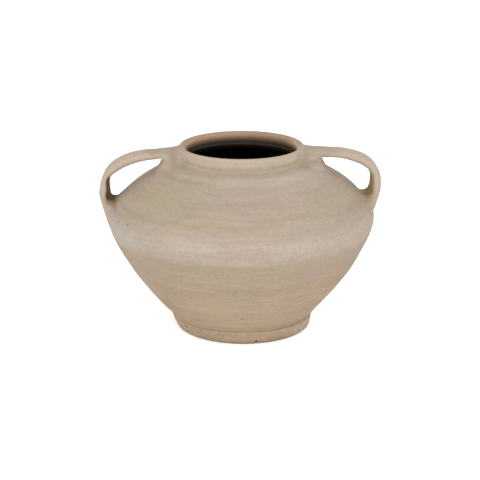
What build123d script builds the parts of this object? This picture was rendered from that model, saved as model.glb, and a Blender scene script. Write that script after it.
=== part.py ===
from build123d import *
import os

# A wide, low olla of unglazed earthenware with two strap handles.
# The pot is thrown in rings that are luted together with slip: a foot ring, a floor
# slab that drops into it, two rings of the bowl, two of the belly, a shoulder, a collar
# and a rim roll. Each ring stands on the one below with a ridge in a groove. Two pulled
# straps are luted on between collar and belly, with a pad of clay pressed round each of
# their four roots. One coil is pressed over the seam under the belly and another into
# the corner over the floor. Everything is fired as one.
# Sizes are in millimetres. Z is up from the table and the pot is turned about Z. The
# handles lie along X, the left one towards -X.

# Heights of the rings, from the table up
foot_height = 19.5
waist_rise = 4.5
bowl_rise = 133.0
shoulder_rise = 72.5
collar_depth = 10.5
rim_depth = 13.0

# Foot ring and floor slab
foot_radius = 97.0
heel_inset = 4.5
heel_round = 5.0
foot_groove = 1.2
foot_ledge_wall = 9.0
foot_ledge = 10.0
floor_thickness = 10.0

# Wall of the bowl and the shoulder
belly_radius = 180.0
waist_flare = 1.5
wall = 9.0
base_wall = 16.0

# Collar and rim roll
throat_radius = 74.0
collar_wall = 16.0
rim_width = 10.5
rim_crest_rise = 5.0
rim_underside_inset = 0.8
neck_inset = 2.0
neck_drop = 3.5

# Ridge and groove of every luted ring joint
key_width = 4.0
key_depth = 2.0

# Coils pressed over the belly seam and into the corner over the floor
seam_coil_width = 18.0
seam_coil_bulge = 3.0
floor_coil_radius = 7.0

# Straps: their section, how deep they are buried and where their two ends are
strap_width = 32.0
strap_thickness = 14.0
upper_root_width = 38.0
lower_root_width = 44.0
upper_burial = 8.0
left_overhang = 12.5
left_crown_drop = 11.5
left_lower_root_rise = 7.0
right_overhang = 8.0
right_crown_drop = 9.5
right_lower_root_rise = 19.0

# Pads round the handle roots: length from the strap's end, and spread past the strap
pad_lip = 1.2
upper_pad_length = 30.0
upper_pad_side_spread = 7.0
upper_pad_face_spread = 0.3
lower_pad_length = 36.0
lower_pad_side_spread = 7.0
lower_pad_face_spread = 4.0

# Outline of the lower bowl: shares of the run from waist to belly and of the rise
lower_run_shares = (0.0, 0.24, 0.49, 0.70, 0.853, 0.942, 1.0)
lower_rise_shares = (0.0, 0.162, 0.353, 0.541, 0.718, 0.835, 1.0)

# Outline of the shoulder: shares of the run from belly to collar and of the rise
upper_run_shares = (0.0, 0.03, 0.174, 0.36, 0.58, 0.80, 1.0)
upper_rise_shares = (0.0, 0.14, 0.342, 0.55, 0.734, 0.885, 1.0)

# Where the inside of the wall is laid off, as shares of each outline's length
lower_inside_shares = (0.25, 0.5, 0.75, 1.0)
upper_inside_shares = (0.25, 0.5, 0.75)

# Centre line of a strap: shares of the way out from the rim and down between the roots
strap_out_shares = (0.2, 0.46, 0.68, 0.85, 0.96, 1.0, 0.985, 0.92, 0.80)
strap_down_shares = (0.0, 0.045, 0.12, 0.24, 0.41, 0.61, 0.82, 1.0, 1.14)
strap_station_shares = (0.0, 0.12, 0.25, 0.38, 0.5, 0.62, 0.74, 0.86, 1.0)
root_flare_power = 4

# How much of its spread a pad keeps, at even steps from the strap's end to its lip
pad_spread_shares = (1.0, 0.7, 0.3, 0.0)

# Heights that follow
waist_height = foot_height + waist_rise
belly_height = waist_height + bowl_rise
shoulder_top = belly_height + shoulder_rise
rim_base = shoulder_top + collar_depth
overall_height = rim_base + rim_depth
rim_crest_base = overall_height - rim_crest_rise
floor_underside = foot_height - floor_thickness

# Radii that follow
floor_radius = foot_radius - foot_ledge_wall
foot_bore_radius = floor_radius - foot_ledge
heel_radius = foot_radius - heel_inset
waist_radius = foot_radius + waist_flare
inner_floor_radius = waist_radius - base_wall
shoulder_top_radius = throat_radius + collar_wall
rim_radius = throat_radius + rim_width
rim_crest_radius = throat_radius + rim_width / 2
rim_underside_radius = rim_radius - rim_underside_inset
neck_radius = rim_radius - neck_inset

# Points up the outside of the wall, from waist to belly and from belly to collar
lower_points = [
    Vector(
        waist_radius + run * (belly_radius - waist_radius),
        waist_height + rise * bowl_rise,
    )
    for run, rise in zip(lower_run_shares, lower_rise_shares)
]
upper_points = [
    Vector(
        belly_radius + run * (shoulder_top_radius - belly_radius),
        belly_height + rise * shoulder_rise,
    )
    for run, rise in zip(upper_run_shares, upper_rise_shares)
]

# Points of the outlines where one ring of the wall ends and the next begins
bowl_joint = lower_points[2]
seam = lower_points[-2]
belly_joint = lower_points[-1]
shoulder_joint = upper_points[2]

# Outside of the wall from the foot ring to the underside of the rim
with BuildLine() as outside:
    Line((foot_radius, foot_height), lower_points[0])
    lower = Spline(
        *lower_points,
        tangents=(lower_points[1] - lower_points[0], (0, 1)),
    )
    upper = Spline(
        *upper_points,
        tangents=((0, 1), upper_points[-1] - upper_points[-2]),
    )
    Spline(
        upper_points[-1],
        (neck_radius, rim_base - neck_drop),
        (rim_underside_radius, rim_base),
    )

# Outside of the rim roll, from its underside to the crest
with BuildLine() as rim_outside:
    Spline(
        (rim_underside_radius, rim_base),
        (rim_radius, rim_crest_base),
        tangents=((1, 1), (0, 1)),
    )
    EllipticalCenterArc(
        (rim_crest_radius, rim_crest_base),
        x_radius=rim_width / 2,
        y_radius=rim_crest_rise,
        start_angle=0,
        arc_size=90,
    )


def inside_points(outline, length_shares):
    """Points at the wall's thickness inside an outline, square to it."""
    return [
        outline @ share + (outline % share).rotate(Axis.Z, 90) * wall
        for share in length_shares
    ]


# Section of the wall, as radius and height
with BuildSketch() as wall_section:
    with BuildLine():
        add(outside.line)
        Polyline(
            (rim_underside_radius, rim_base),
            (throat_radius, rim_base),
            (throat_radius, shoulder_top),
        )
        Spline(
            (throat_radius, shoulder_top),
            *reversed(inside_points(upper, upper_inside_shares)),
            *reversed(inside_points(lower, lower_inside_shares)),
            (inner_floor_radius, foot_height),
        )
        Line((inner_floor_radius, foot_height), (foot_radius, foot_height))
    make_face()


def height_band(bottom, top):
    """A block from the axis to beyond the belly, between two heights."""
    with BuildSketch() as band:
        with Locations((belly_radius, (bottom + top) / 2)):
            Rectangle(belly_radius * 2, top - bottom)
    return band.sketch


def joint_ridge(radius, height):
    """Ridge under a luted ring, pointing down from its joint face."""
    with BuildSketch() as ridge:
        with BuildLine():
            Polyline(
                (radius - key_width / 2, height),
                (radius, height - key_depth),
                (radius + key_width / 2, height),
                close=True,
            )
        make_face()
    return ridge.sketch


foot_ridge = joint_ridge((floor_radius + foot_radius) / 2, foot_height)
bowl_ridge = joint_ridge(bowl_joint.X - wall / 2, bowl_joint.Y)
seam_ridge = joint_ridge(seam.X - wall / 2, seam.Y)
belly_ridge = joint_ridge(belly_joint.X - wall / 2, belly_joint.Y)
shoulder_ridge = joint_ridge(shoulder_joint.X - wall / 2, shoulder_joint.Y)
collar_ridge = joint_ridge((throat_radius + shoulder_top_radius) / 2, shoulder_top)
rim_ridge = joint_ridge((throat_radius + rim_underside_radius) / 2, rim_base)

# Foot ring: a turned ring with a rounded heel and a ledge for the floor slab
with BuildPart() as foot_ring:
    with BuildSketch(Plane.XZ):
        with BuildLine():
            Polyline(
                (foot_bore_radius, 0),
                (heel_radius, 0),
                (foot_radius, foot_height),
                (floor_radius, foot_height),
                (floor_radius, floor_underside),
                (foot_bore_radius, floor_underside),
                close=True,
            )
        make_face()
        fillet(vertices().group_by(Axis.Y)[0].sort_by(Axis.X)[-1], heel_round)
        chamfer(vertices().group_by(Axis.Y)[-1].sort_by(Axis.X)[-1], foot_groove)
        add(foot_ridge, mode=Mode.SUBTRACT)
    revolve(axis=Axis.Z)
foot_ring.part.label = "foot_ring"

# Floor slab: a plain disc that drops into the foot ring
with BuildPart() as floor_slab:
    with BuildSketch(Plane.XY.offset(floor_underside)):
        Circle(floor_radius)
    extrude(amount=floor_thickness)
floor_slab.part.label = "floor_slab"


def make_ring(bottom, top, ridge, groove):
    """A ring of the wall between two heights, a ridge under it and a groove on top."""
    with BuildPart() as ring:
        with BuildSketch(Plane.XZ):
            add(wall_section.sketch)
            add(height_band(bottom, top), mode=Mode.INTERSECT)
            add(ridge)
            add(groove, mode=Mode.SUBTRACT)
        revolve(axis=Axis.Z)
    return ring.part


# Lower bowl: the steep flare from the foot ring up
lower_bowl = make_ring(foot_height, bowl_joint.Y, foot_ridge, bowl_ridge)
lower_bowl.label = "lower_bowl"

# Upper bowl: on up to the seam just under the belly
upper_bowl = make_ring(bowl_joint.Y, seam.Y, bowl_ridge, seam_ridge)
upper_bowl.label = "upper_bowl"

# Lower belly: from the seam up to the widest part
lower_belly = make_ring(seam.Y, belly_joint.Y, seam_ridge, belly_ridge)
lower_belly.label = "lower_belly"

# Upper belly: where the wall turns inwards
upper_belly = make_ring(belly_joint.Y, shoulder_joint.Y, belly_ridge, shoulder_ridge)
upper_belly.label = "upper_belly"

# Shoulder: the slope up to the collar
shoulder = make_ring(shoulder_joint.Y, shoulder_top, shoulder_ridge, collar_ridge)
shoulder.label = "shoulder"

# Collar: the short pinched neck
collar = make_ring(shoulder_top, rim_base, collar_ridge, rim_ridge)
collar.label = "collar"

# Rim roll: a thick band with a rounded crest
with BuildPart() as rim_roll:
    with BuildSketch(Plane.XZ):
        with BuildLine():
            add(rim_outside.line)
            EllipticalCenterArc(
                (rim_crest_radius, rim_crest_base),
                x_radius=rim_width / 2,
                y_radius=rim_crest_rise,
                start_angle=90,
                arc_size=90,
            )
            Polyline(
                (throat_radius, rim_crest_base),
                (throat_radius, rim_base),
                (rim_underside_radius, rim_base),
            )
        make_face()
        add(rim_ridge)
    revolve(axis=Axis.Z)
rim_roll.part.label = "rim_roll"

# Coil pressed over the seam, inside the pot
with BuildPart() as seam_coil:
    with BuildSketch(Plane.XZ):
        with Locations((seam.X - wall, seam.Y)):
            Ellipse(seam_coil_bulge, seam_coil_width / 2)
        add(wall_section.sketch, mode=Mode.SUBTRACT)
    revolve(axis=Axis.Z)
seam_coil.part.label = "seam_coil"

# Coil pressed into the corner between floor and wall
with BuildPart() as floor_coil:
    with BuildSketch(Plane.XZ):
        with Locations((inner_floor_radius, foot_height)):
            Circle(floor_coil_radius)
        add(height_band(foot_height, seam.Y), mode=Mode.INTERSECT)
        add(wall_section.sketch, mode=Mode.SUBTRACT)
    revolve(axis=Axis.Z)
floor_coil.part.label = "floor_coil"

# The pot's outside as one filled form, to cut the handles and pads to its surface
with BuildPart() as filled_pot:
    with BuildSketch(Plane.XZ):
        with BuildLine():
            add(outside.line)
            add(rim_outside.line)
            Polyline(
                (rim_crest_radius, overall_height),
                (0, overall_height),
                (0, foot_height),
                (foot_radius, foot_height),
            )
        make_face()
    revolve(axis=Axis.Z)


def strap_centre_line(side, overhang, crown, lower_root):
    """Centre line of one strap, from inside the rim out, over and down to the belly."""
    out = belly_radius + overhang - strap_thickness / 2 - rim_radius
    down = crown - lower_root
    with BuildLine() as centre:
        Spline(
            (side * (rim_radius - upper_burial), 0, crown),
            *[
                (side * (rim_radius + out_share * out), 0, crown - down_share * down)
                for out_share, down_share in zip(strap_out_shares, strap_down_shares)
            ],
        )
    return centre.edge()


def strap_oval(centre, share, side_spread=0, face_spread=0):
    """The strap's oval section, spread to its sides and faces, square to it."""
    root_width = upper_root_width if share < 1 / 2 else lower_root_width
    flare = abs(2 * share - 1) ** root_flare_power
    width = strap_width + (root_width - strap_width) * flare
    square = Plane(centre @ share, x_dir=(0, 1, 0), z_dir=centre % share)
    with BuildSketch(square) as oval:
        Ellipse(width / 2 + side_spread, strap_thickness / 2 + face_spread)
    return oval.sketch


def make_handle(centre):
    """A pulled strap of oval section, cut to the outside of the pot."""
    ovals = [strap_oval(centre, share) for share in strap_station_shares]
    with BuildPart() as handle:
        loft(ovals)
        add(filled_pot.part, mode=Mode.SUBTRACT)
    return handle.part


def make_pad(centre, end_share, length, side_spread, face_spread, strap):
    """A pad of clay round one end of a strap: a flared sleeve, cut to strap and pot."""
    lip_share = abs(end_share - length / centre.length)
    steps = len(pad_spread_shares) - 1
    ovals = [
        strap_oval(
            centre,
            end_share + (lip_share - end_share) * step / steps,
            side_spread=pad_lip + kept * side_spread,
            face_spread=pad_lip + kept * face_spread,
        )
        for step, kept in enumerate(pad_spread_shares)
    ]
    with BuildPart() as pad:
        loft(ovals)
        add(filled_pot.part, mode=Mode.SUBTRACT)
        add(strap, mode=Mode.SUBTRACT)
    return pad.part


upper_pad = (0, upper_pad_length, upper_pad_side_spread, upper_pad_face_spread)
lower_pad = (1, lower_pad_length, lower_pad_side_spread, lower_pad_face_spread)
handle_fits = {
    "left": (-1, left_overhang, left_crown_drop, left_lower_root_rise),
    "right": (1, right_overhang, right_crown_drop, right_lower_root_rise),
}
luted = []
for name, (side, overhang, crown_drop, root_rise) in handle_fits.items():
    centre = strap_centre_line(
        side, overhang, overall_height - crown_drop, belly_height + root_rise
    )
    handle = make_handle(centre)
    handle.label = f"{name}_handle"
    upper_root_pad = make_pad(centre, *upper_pad, handle)
    upper_root_pad.label = f"{name}_upper_root_pad"
    lower_root_pad = make_pad(centre, *lower_pad, handle)
    lower_root_pad.label = f"{name}_lower_root_pad"
    luted += [handle, upper_root_pad, lower_root_pad]

os.makedirs("parts", exist_ok=True)
export_step(foot_ring.part, "parts/foot_ring.step")
export_step(floor_slab.part, "parts/floor_slab.step")
export_step(lower_bowl, "parts/lower_bowl.step")
export_step(upper_bowl, "parts/upper_bowl.step")
export_step(lower_belly, "parts/lower_belly.step")
export_step(upper_belly, "parts/upper_belly.step")
export_step(shoulder, "parts/shoulder.step")
export_step(collar, "parts/collar.step")
export_step(rim_roll.part, "parts/rim_roll.step")
export_step(seam_coil.part, "parts/seam_coil.step")
export_step(floor_coil.part, "parts/floor_coil.step")
for piece in luted:
    export_step(piece, f"parts/{piece.label}.step")
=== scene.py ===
import logging
import math
from collections.abc import Iterable, Sequence
from dataclasses import dataclass
from enum import Enum

import bpy
import numpy as np
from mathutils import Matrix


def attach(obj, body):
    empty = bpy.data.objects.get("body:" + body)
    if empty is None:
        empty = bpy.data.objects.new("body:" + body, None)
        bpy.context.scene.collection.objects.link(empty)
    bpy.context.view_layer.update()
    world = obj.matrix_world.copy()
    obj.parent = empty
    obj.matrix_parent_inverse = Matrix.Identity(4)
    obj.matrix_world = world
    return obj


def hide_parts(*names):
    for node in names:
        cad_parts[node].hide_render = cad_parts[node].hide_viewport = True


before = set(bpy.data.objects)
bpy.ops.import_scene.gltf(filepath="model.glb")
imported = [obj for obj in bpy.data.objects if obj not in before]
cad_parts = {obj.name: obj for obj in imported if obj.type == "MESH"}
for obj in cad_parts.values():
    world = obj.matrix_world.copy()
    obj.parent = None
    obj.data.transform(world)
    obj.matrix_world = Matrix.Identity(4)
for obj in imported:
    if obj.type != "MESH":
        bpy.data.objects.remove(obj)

# A wide olla of unglazed earthenware with two strap handles, dressed over its CAD frame.
# Lengths are millimetres until a mesh is written. Z is up from the table and X runs
# along the handles. Angles go round the pot from the side that faces the camera.

LOG = logging.getLogger("olla")
METRES = 0.001
COLUMNS = 720
LATTICE = 64
KEY_WIDTH = 4.0
KEY_DEPTH = 2.0


class Clay(Enum):
    """Fired clay and slip colours, and colours of painted shade for the throat and the straps' crotches, as
    display red, green and blue of 255.
    """

    BUFF = (188, 171, 154)
    SHOULDER = (187, 171, 152)
    ROSY = (192, 176, 160)
    PALE = (197, 184, 168)
    ASHEN = (198, 189, 173)
    LIP = (199, 183, 164)
    STRAP = (202, 184, 167)
    WORN = (176, 161, 144)
    KHAKI = (184, 168, 144)
    OLIVE = (176, 160, 133)
    WHEAT = (198, 177, 153)
    OCHRE = (189, 168, 144)
    TAN = (182, 161, 137)
    MAUVE = (186, 166, 152)
    PEACH = (196, 170, 148)
    UMBER = (163, 142, 119)
    # Rust colour of real stains, also used for painted shade on the straps' undersides.
    RUST_AND_SHADE = (168, 134, 104)
    BARK = (148, 120, 86)
    SIENNA = (140, 103, 66)
    # Painted shade in the left strap's crotch.
    CROTCH_SHADE = (74, 47, 13)
    # The colours below are painted shade inside the pot, from the throat's top down to near black. The third
    # and fourth also colour small dark marks on the foot and by the right strap.
    THROAT = (181, 153, 130)
    THROAT_SHADE_LIGHT = (167, 138, 115)
    DARK_MARK_AND_THROAT_SHADE = (136, 110, 87)
    DARK_SPECK_AND_THROAT_SHADE = (93, 74, 56)
    THROAT_SHADE_DEEP = (32, 23, 11)
    THROAT_SHADE_DEEPER = (13, 9, 4)
    THROAT_SHADE_DEEPEST = (7, 5, 3)

    @property
    def linear(self) -> np.ndarray:
        """The colour as linear light, by the usual display curve."""
        display = np.array(self.value) / 255
        return np.where(display < 0.04045, display / 12.92, ((display + 0.055) / 1.055) ** 2.4)


def smooth_step(low: float, high: float, value: np.ndarray) -> np.ndarray:
    """Rises from 0 to 1 between two values, flat at both ends: 3t squared less 2t cubed.

    Args:
        low: Value at which the step starts.
        high: Value at which the step ends. It may lie below the start.
        value: Values to take the step of.

    Returns:
        The step's height at each value.
    """
    share = np.clip((value - low) / (high - low), 0, 1)
    return share * share * (3 - 2 * share)


def cloud(points: np.ndarray, cell: tuple[float, float, float], seed: int) -> np.ndarray:
    """Soft noise from -1 to 1: random corners of a box lattice, eased between.

    Each point falls in one box of the lattice. Its value is the eight corner values
    weighted by the smooth step of how far along the box it lies in x, y and z.

    Args:
        points: Points in millimetres, with x, y and z last.
        cell: Size of a lattice box along x, y and z, in millimetres.
        seed: Seed of the random corners.

    Returns:
        One value per point.
    """
    corners = np.random.default_rng(seed).uniform(-1, 1, (LATTICE, LATTICE, LATTICE))
    place = points / np.array(cell) + LATTICE / 2
    low = np.floor(place).astype(int)
    near = place - low
    near = near * near * (3 - 2 * near)
    value = np.zeros(points.shape[:-1])
    for step in np.ndindex(2, 2, 2):
        index = (low + step) % LATTICE
        weight = np.where(np.array(step) == 1, near, 1 - near).prod(axis=-1)
        value += weight * corners[index[..., 0], index[..., 1], index[..., 2]]
    return value


@dataclass(frozen=True)
class Layer:
    """One layer of soft noise: its strength, its lattice box in millimetres and its seed."""

    strength: float
    cell: tuple[float, float, float]
    seed: int

    def at(self, points: np.ndarray) -> np.ndarray:
        """The layer's value at each point."""
        return self.strength * cloud(points, self.cell, self.seed)


# How levels on the wall waver, in colour and in relief alike
WAVER = (Layer(0.9, (45, 45, 30), 11), Layer(0.35, (9, 9, 9), 12))


def layered(layers: tuple[Layer, ...], points: np.ndarray) -> np.ndarray:
    """The sum of a few layers of noise at each point."""
    return sum(layer.at(points) for layer in layers)


def blend(under: np.ndarray, over: np.ndarray, share: np.ndarray) -> np.ndarray:
    """Lays one colour over another, by a share for each point."""
    return under * (1 - share[:, None]) + over * share[:, None]


def angle_from(points: np.ndarray, degrees: float) -> np.ndarray:
    """Angle round the pot from a place to each point, from minus half a turn to half a turn."""
    angle = np.arctan2(points[..., 0], -points[..., 1]) - math.radians(degrees)
    return (angle + math.pi) % (2 * math.pi) - math.pi


def eased_path(
    t: np.ndarray, start: np.ndarray, leave: np.ndarray, end: np.ndarray, arrive: np.ndarray
) -> np.ndarray:
    """Cubic from one place to another, with its speed given at both.

    The places are weighted by 2t cubed less 3t squared plus 1 and by its rest to 1. The
    speeds are weighted by t times (1 - t) squared and by t squared times (t - 1).

    Args:
        t: Share of the way, from 0 to 1.
        start: Place at 0.
        leave: Speed at 0.
        end: Place at 1.
        arrive: Speed at 1.

    Returns:
        The places at t.
    """
    return (
        (2 * t**3 - 3 * t**2 + 1) * start
        + (t**3 - 2 * t**2 + t) * leave
        + (3 * t**2 - 2 * t**3) * end
        + (t**3 - t**2) * arrive
    )


def smooth_curve(
    points: np.ndarray,
    start: np.ndarray | None = None,
    end: np.ndarray | None = None,
    samples: int = 400,
) -> np.ndarray:
    """Cubic curve through a few points, with an unbroken bend.

    The curve's speed at each inner point solves the usual three-point equations over
    the straight distances between the points. An end without a direction is left free.

    Args:
        points: The points, one to a row, with any number of columns.
        start: Direction at the first point, or nothing.
        end: Direction at the last point, or nothing.
        samples: How many points to return.

    Returns:
        Points evenly spaced in straight distance along the curve.
    """
    gaps = np.linalg.norm(np.diff(points[:, :2], axis=0), axis=1)
    slopes = np.diff(points, axis=0) / gaps[:, None]
    count = len(points)
    rows = np.zeros((count, count))
    sums = np.zeros(points.shape)
    inner = np.arange(1, count - 1)
    rows[inner, inner - 1] = gaps[1:]
    rows[inner, inner] = 2 * (gaps[:-1] + gaps[1:])
    rows[inner, inner + 1] = gaps[:-1]
    sums[inner] = 3 * (gaps[1:, None] * slopes[:-1] + gaps[:-1, None] * slopes[1:])
    for row, beside, slope, direction in ((0, 1, 0, start), (-1, -2, -1, end)):
        rows[row, row] = 2 if direction is None else 1
        rows[row, beside] = 1 if direction is None else 0
        free = 3 * slopes[slope]
        sums[row] = free if direction is None else direction / np.linalg.norm(direction)
    speed = np.linalg.solve(rows, sums)
    ends = np.concatenate(([0], np.cumsum(gaps)))
    travel = np.linspace(0, ends[-1], samples)
    leg = np.clip(np.searchsorted(ends, travel, side="right") - 1, 0, count - 2)
    gap = gaps[leg][:, None]
    t = (travel - ends[leg])[:, None] / gap
    return eased_path(t, points[leg], gap * speed[leg], points[leg + 1], gap * speed[leg + 1])


def even_steps(line: np.ndarray, pitch: float) -> np.ndarray:
    """Points at equal distances along a polyline, its two ends kept.

    Args:
        line: Points, one to a row, with the place in the first two columns.
        pitch: Greatest distance between two of the new points.

    Returns:
        The new points, with the other columns carried along.
    """
    travel = np.concatenate(([0], np.cumsum(np.linalg.norm(np.diff(line[:, :2], axis=0), axis=1))))
    steps = max(2, math.ceil(travel[-1] / pitch) + 1)
    places = np.linspace(0, travel[-1], steps)
    return np.stack([np.interp(places, travel, column) for column in line.T], axis=1)


def headings(line: np.ndarray) -> np.ndarray:
    """Unit direction at each point of a line: the step across the point, made one long."""
    along = np.gradient(line, axis=0)
    return along / np.linalg.norm(along, axis=1)[:, None]


def with_normals(line: np.ndarray, turn: int = 1) -> np.ndarray:
    """Adds normals to rows of radius and height: the direction, a quarter turn to the right.

    Args:
        line: Radius and height, one point to a row.
        turn: 1 for that side, and -1 for the left of the line.

    Returns:
        Rows of radius, height, and the normal's radius and height.
    """
    along = headings(line)
    return np.column_stack([line, turn * along[:, 1], -turn * along[:, 0]])


def closed_skin(rings: np.ndarray) -> tuple[np.ndarray, list[np.ndarray]]:
    """Skin over a row of rings: quads from ring to ring, and a fan at each end.

    A fan's triangles meet at the mean of its ring.

    Args:
        rings: Points by ring and by place round it.

    Returns:
        The points, one to a row, with the arrays of quads and of triangles.
    """
    count = rings.shape[1]
    index = np.arange(rings.shape[0] * count).reshape(-1, count)
    beside = np.roll(index, -1, axis=1)
    quads = np.stack([index[:-1], index[1:], beside[1:], beside[:-1]], axis=2).reshape(-1, 4)
    centre = np.full(count, rings.shape[0] * count)
    fans = np.concatenate([
        np.stack([centre, index[0], beside[0]], axis=1),
        np.stack([centre + 1, beside[-1], index[-1]], axis=1),
    ])
    poles = [rings[0].mean(axis=0), rings[-1].mean(axis=0)]
    return np.concatenate([rings.reshape(-1, 3), poles]), [quads, fans]


def key_corners(radius: float, height: float) -> list[tuple[float, float]]:
    """The three corners of the ridge and groove in the joint face between two rings."""
    half = KEY_WIDTH / 2
    return [(radius - half, height), (radius, height - KEY_DEPTH), (radius + half, height)]


@dataclass(frozen=True)
class WallOutline:
    """Outline of wall and rim, as radius and height: the CAD's sizes, with a softer rim."""

    foot_height: float = 19.5
    waist_height: float = 24.0
    belly_height: float = 157.0
    shoulder_top: float = 229.5
    neck_height: float = 235.6
    rim_base: float = 240.0
    rim_widest: float = 247.5
    lip_top: float = 252.4
    lip_radius: float = 81.9
    lip_fall: float = 7.9
    foot_radius: float = 97.0
    waist_radius: float = 98.5
    belly_radius: float = 180.0
    shoulder_top_radius: float = 90.0
    neck_radius: float = 82.9
    rim_underside_radius: float = 83.9
    rim_radius: float = 84.5
    throat_radius: float = 74.0
    floor_radius: float = 82.5
    wall: float = 9.0
    foot_key: float = 92.5
    rim_key: float = 78.85
    flank_lean: float = 0.5
    inside_heights: tuple[float, ...] = (58.0, 91.0, 125.0, 157.0, 179.0, 199.0, 215.0)
    lower_run: tuple[float, ...] = (0.0, 0.24, 0.49, 0.70, 0.853, 0.942, 1.0)
    lower_rise: tuple[float, ...] = (0.0, 0.162, 0.353, 0.541, 0.718, 0.835, 1.0)
    upper_run: tuple[float, ...] = (0.0, 0.03, 0.174, 0.36, 0.58, 0.80, 1.0)
    upper_rise: tuple[float, ...] = (0.0, 0.14, 0.342, 0.55, 0.734, 0.885, 1.0)

    def lower_points(self) -> np.ndarray:
        """Points up the bowl: shares of the run and the rise from waist to belly."""
        ends = np.array([[self.waist_radius, self.waist_height], [self.belly_radius, self.belly_height]])
        return ends[0] + np.stack([self.lower_run, self.lower_rise], axis=1) * (ends[1] - ends[0])

    def upper_points(self) -> np.ndarray:
        """Points up the shoulder: shares of the run and the rise from belly to collar."""
        ends = np.array([
            [self.belly_radius, self.belly_height],
            [self.shoulder_top_radius, self.shoulder_top],
        ])
        return ends[0] + np.stack([self.upper_run, self.upper_rise], axis=1) * (ends[1] - ends[0])

    def joints(self) -> tuple[float, float, float, float]:
        """Heights of the joints between rings: in the bowl, at the seam and the belly, over it."""
        lower, upper = self.lower_points()[:, 1], self.upper_points()[:, 1]
        return lower[2], lower[-2], self.belly_height, upper[2]

    def outer(self) -> np.ndarray:
        """Outside of the wall from the foot to the rim's underside, with its normals.

        The bowl and the shoulder are smooth curves that meet upright at the belly, and
        the neck is a third one. A normal is the curve's direction turned outwards.

        Returns:
            Rows of radius, height, and the normal's radius and height.
        """
        lower = self.lower_points()
        upper = self.upper_points()
        upright = np.array([0.0, 1.0])
        foot = np.array([[self.foot_radius, self.foot_height], [self.waist_radius, self.waist_height]])
        neck = np.array([
            [self.shoulder_top_radius, self.shoulder_top],
            [self.neck_radius, self.neck_height],
            [self.rim_underside_radius, self.rim_base],
        ])
        line = np.concatenate([
            even_steps(foot, pitch=0.5)[:-1],
            smooth_curve(lower, lower[1] - lower[0], upright)[:-1],
            smooth_curve(upper, upright, upper[-1] - upper[-2])[:-1],
            smooth_curve(neck, samples=60),
        ])
        return with_normals(line)

    def inner(self) -> np.ndarray:
        """Inside of the wall from the floor's edge to the throat, with its normals.

        Points lie a wall's thickness inside the outside curve, square to it, and one
        smooth curve runs through them to the throat.

        Returns:
            Rows of radius, height, and the normal's radius and height.
        """
        outside = self.outer()
        levels = self.inside_heights
        place = np.stack([np.interp(levels, outside[:, 1], column) for column in outside.T], axis=1)
        inside = place[:, :2] - place[:, 2:] * self.wall
        points = np.concatenate([
            [[self.floor_radius, self.foot_height]],
            inside,
            [[self.throat_radius, self.shoulder_top]],
        ])
        return with_normals(smooth_curve(points), turn=-1)

    def crest(self) -> np.ndarray:
        """The rim's section from its underside out, over the crest and into the throat.

        The flank is a bow from the underside to the widest point. A tight quarter oval
        rounds the lip outside, a wide one lets it fall inwards, and the throat is upright.

        Returns:
            Rows of radius, height, and the normal's radius and height.
        """
        flank = smooth_curve(
            np.array([[self.rim_underside_radius, self.rim_base], [self.rim_radius, self.rim_widest]]),
            np.array([self.flank_lean, 1.0]),
            np.array([0.0, 1.0]),
            samples=30,
        )
        turn = np.linspace(0, math.pi / 2, 40)
        outer = np.column_stack([
            self.lip_radius + (self.rim_radius - self.lip_radius) * np.cos(turn),
            self.rim_widest + (self.lip_top - self.rim_widest) * np.sin(turn),
        ])
        inner = np.column_stack([
            self.lip_radius - (self.lip_radius - self.throat_radius) * np.sin(turn),
            self.lip_top - self.lip_fall * (1 - np.cos(turn)),
        ])
        throat = np.array([[self.throat_radius, self.rim_base]])
        line = np.concatenate([flank[:-1], outer, inner[1:], throat])
        return with_normals(even_steps(line, pitch=0.4))

    def outside_at(self, heights: np.ndarray) -> np.ndarray:
        """Outside radius and normal at each height, from the foot up to the rim's crest.

        Args:
            heights: Heights in millimetres.

        Returns:
            Radius, normal's radius and normal's height, in the last axis.
        """
        outside = self.outer()
        crest = self.crest()
        rising = crest[: int(np.argmax(crest[:, 1])) + 1]
        both = np.concatenate([outside[:-1], rising])
        return np.stack([np.interp(heights, both[:, 1], both[:, k]) for k in (0, 2, 3)], axis=-1)

    def radius_at(self, heights: np.ndarray) -> np.ndarray:
        """Outside radius at each height, from the foot up to the rim's crest."""
        return self.outside_at(heights)[..., 0]

    def part_of(
        self, curve: np.ndarray, low: float, high: float, pitch: float, clear: float = 0.01
    ) -> np.ndarray:
        """The stretch of a rising curve between two heights, at equal steps.

        Args:
            curve: Rows of radius, height and normal, with the height rising.
            low: Height at which the stretch starts.
            high: Height at which it ends.
            pitch: Greatest step along the curve.
            clear: Least height between an end and the curve's next point.

        Returns:
            Rows of radius, height and normal.
        """
        inner = curve[(curve[:, 1] > low + clear) & (curve[:, 1] < high - clear)]
        ends = [np.array([np.interp(z, curve[:, 1], column) for column in curve.T]) for z in (low, high)]
        stretch = even_steps(np.concatenate([ends[:1], inner, ends[1:]]), pitch)
        stretch[:, 2:] /= np.linalg.norm(stretch[:, 2:], axis=1)[:, None]
        return stretch


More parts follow.
